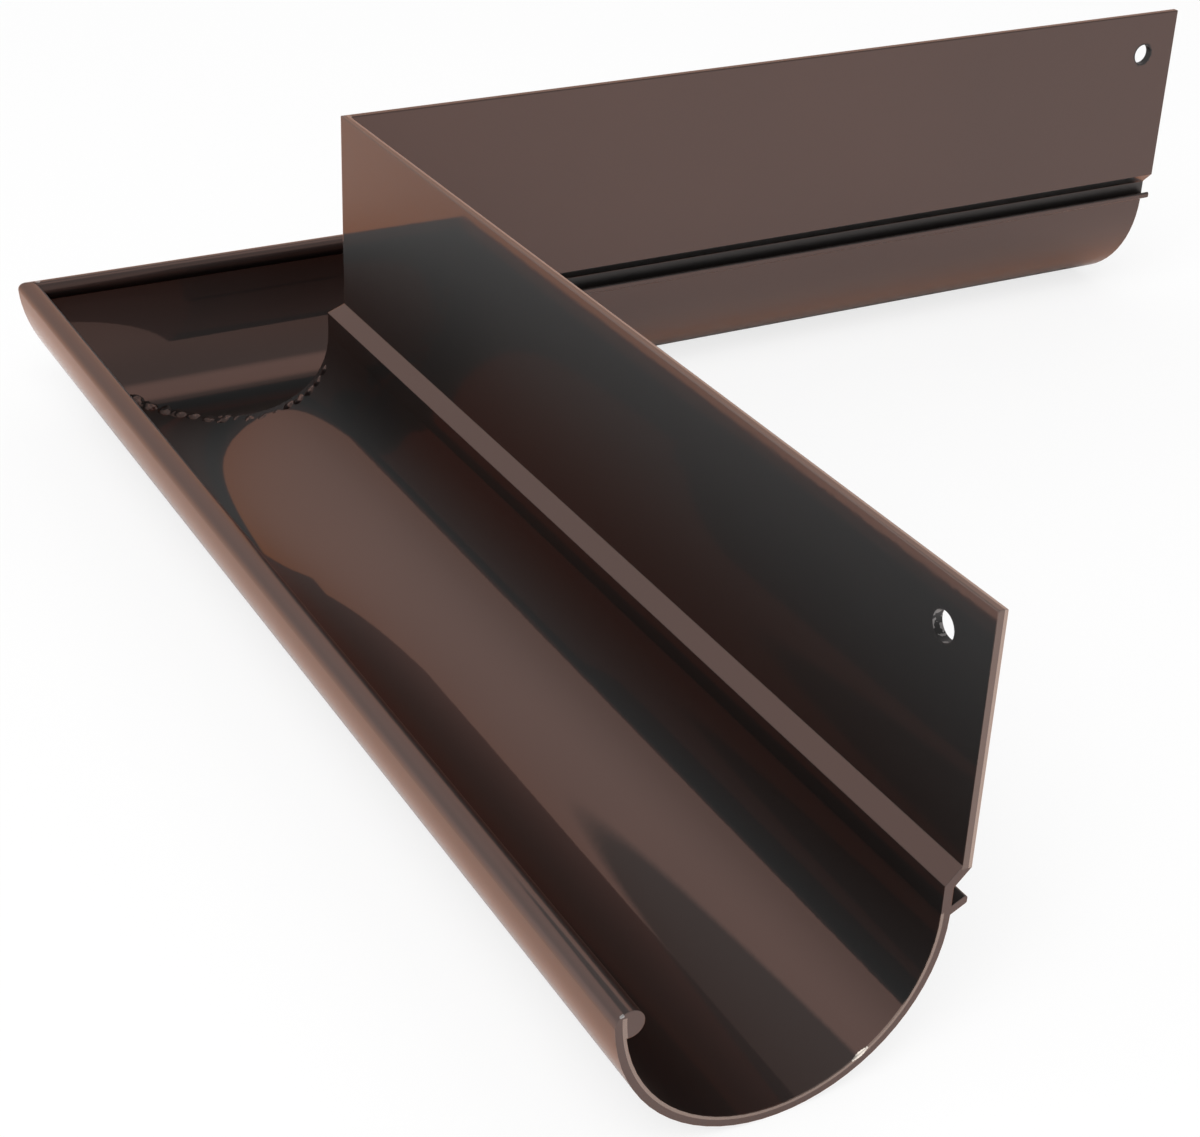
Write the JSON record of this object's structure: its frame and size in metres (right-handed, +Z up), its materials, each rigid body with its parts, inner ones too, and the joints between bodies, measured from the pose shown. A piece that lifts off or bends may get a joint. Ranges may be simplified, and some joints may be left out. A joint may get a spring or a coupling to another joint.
{
  "type": "gutter external angle",
  "caption": "Right-angled half-round gutter corner with a tall fixing upstand, mitred and welded from coated extruded lengths, for the outside corner of a building",
  "frame": {"origin": "under the middle of the part's bounding box, at the level the troughs stand on", "axes": "+Z up; +X runs along the far length to its open end; -Y runs along the near length to its open end; the building stands in the corner between the upstands, at +X and -Y of the mitre"},
  "size_m": [0.5099, 0.5099, 0.1402],
  "materials": {
    "coating": "gloss dark brown coating"
  },
  "bodies": {
    "root": {"near_length": "coating", "far_length": "coating", "mitre_weld": "coating"}
  },
  "joints": []
}
